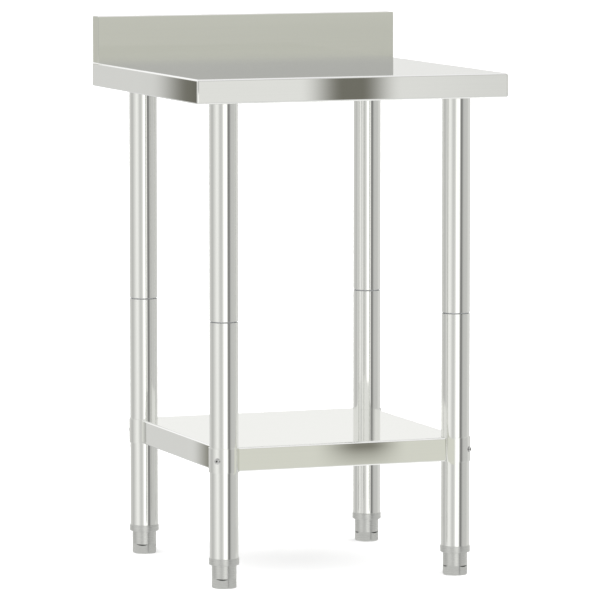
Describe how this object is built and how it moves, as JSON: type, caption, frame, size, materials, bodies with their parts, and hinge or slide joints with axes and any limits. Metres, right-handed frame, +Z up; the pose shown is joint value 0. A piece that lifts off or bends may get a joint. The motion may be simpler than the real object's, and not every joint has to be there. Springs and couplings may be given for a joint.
{
  "type": "stainless steel work table",
  "caption": "Square stainless steel work table with a splashback, round two-piece legs, levelling feet and an undershelf clamped to the legs.",
  "frame": {"origin": "floor level, at the centre of the overall footprint", "axes": "+X to the user's right at the front, +Y to the rear (splashback side), +Z up"},
  "size_m": [0.55, 0.552, 0.93],
  "materials": {
    "stainless_sheet": "bright polished sheet, very fine grain along its length",
    "stainless_channel": "plain mill-finish sheet",
    "stainless_tube": "polished welded tube",
    "stainless_foot": "satin turned steel",
    "stainless_screw": "bright",
    "zinc_steel": "dull zinc plate"
  },
  "bodies": {
    "frame": {"tabletop_panel": "stainless_sheet", "top_channel_front": "stainless_channel", "top_channel_rear": "stainless_channel", "socket_set_screws": "zinc_steel", "leg_socket_front_left": "zinc_steel", "leg_socket_front_right": "zinc_steel", "leg_socket_rear_left": "zinc_steel", "leg_socket_rear_right": "zinc_steel", "upper_leg_tube_front_left": "stainless_tube", "upper_leg_tube_front_right": "stainless_tube", "upper_leg_tube_rear_left": "stainless_tube", "upper_leg_tube_rear_right": "stainless_tube", "leg_nut_plate_front_left": "zinc_steel", "leg_nut_plate_front_right": "zinc_steel", "leg_nut_plate_rear_left": "zinc_steel", "leg_nut_plate_rear_right": "zinc_steel", "leg_stud_plate_front_left": "zinc_steel", "leg_stud_plate_front_right": "zinc_steel", "leg_stud_plate_rear_left": "zinc_steel", "leg_stud_plate_rear_right": "zinc_steel", "lower_leg_tube_front_left": "stainless_tube", "lower_leg_tube_front_right": "stainless_tube", "lower_leg_tube_rear_left": "stainless_tube", "lower_leg_tube_rear_right": "stainless_tube", "foot_insert_front_left": "stainless_foot", "foot_insert_front_right": "stainless_foot", "foot_insert_rear_left": "stainless_foot", "foot_insert_rear_right": "stainless_foot"},
    "shelf": {"shelf_panel": "stainless_sheet", "shelf_channel": "stainless_channel", "collar_clamp_screws": "stainless_screw", "shelf_collar_front_left": "stainless_tube", "shelf_collar_front_right": "stainless_tube", "shelf_collar_rear_left": "stainless_tube", "shelf_collar_rear_right": "stainless_tube"},
    "stud_front_left": {"foot_stud_front_left": "zinc_steel"},
    "foot_front_left": {"levelling_foot_front_left": "stainless_foot"},
    "stud_front_right": {"foot_stud_front_right": "zinc_steel"},
    "foot_front_right": {"levelling_foot_front_right": "stainless_foot"},
    "stud_rear_left": {"foot_stud_rear_left": "zinc_steel"},
    "foot_rear_left": {"levelling_foot_rear_left": "stainless_foot"},
    "stud_rear_right": {"foot_stud_rear_right": "zinc_steel"},
    "foot_rear_right": {"levelling_foot_rear_right": "stainless_foot"}
  },
  "joints": [
    {"name": "shelf_height", "type": "slide", "parent": "frame", "child": "shelf", "axis": [0, 0, 1], "range_m": [-0.14, 0.55]},
    {"name": "foot_extend_front_left", "type": "slide", "parent": "frame", "child": "stud_front_left", "axis": [0, 0, -1], "range_m": [0, 0.0246]},
    {"name": "foot_turn_front_left", "type": "hinge", "parent": "stud_front_left", "child": "foot_front_left", "pos_m": [-0.207, -0.212, 0.02], "axis": [0, 0, -1], "range_deg": [0, 5040]},
    {"name": "foot_extend_front_right", "type": "slide", "parent": "frame", "child": "stud_front_right", "axis": [0, 0, -1], "range_m": [0, 0.0246]},
    {"name": "foot_turn_front_right", "type": "hinge", "parent": "stud_front_right", "child": "foot_front_right", "pos_m": [0.207, -0.212, 0.02], "axis": [0, 0, -1], "range_deg": [0, 5040]},
    {"name": "foot_extend_rear_left", "type": "slide", "parent": "frame", "child": "stud_rear_left", "axis": [0, 0, -1], "range_m": [0, 0.0246]},
    {"name": "foot_turn_rear_left", "type": "hinge", "parent": "stud_rear_left", "child": "foot_rear_left", "pos_m": [-0.207, 0.202, 0.02], "axis": [0, 0, -1], "range_deg": [0, 5040]},
    {"name": "foot_extend_rear_right", "type": "slide", "parent": "frame", "child": "stud_rear_right", "axis": [0, 0, -1], "range_m": [0, 0.0246]},
    {"name": "foot_turn_rear_right", "type": "hinge", "parent": "stud_rear_right", "child": "foot_rear_right", "pos_m": [0.207, 0.202, 0.02], "axis": [0, 0, -1], "range_deg": [0, 5040]}
  ],
  "couplings": [
    {"joint": "foot_extend_front_left", "follows": "foot_turn_front_left", "m_per_rad": 0.00027852},
    {"joint": "foot_extend_front_right", "follows": "foot_turn_front_right", "m_per_rad": 0.00027852},
    {"joint": "foot_extend_rear_left", "follows": "foot_turn_rear_left", "m_per_rad": 0.00027852},
    {"joint": "foot_extend_rear_right", "follows": "foot_turn_rear_right", "m_per_rad": 0.00027852}
  ]
}
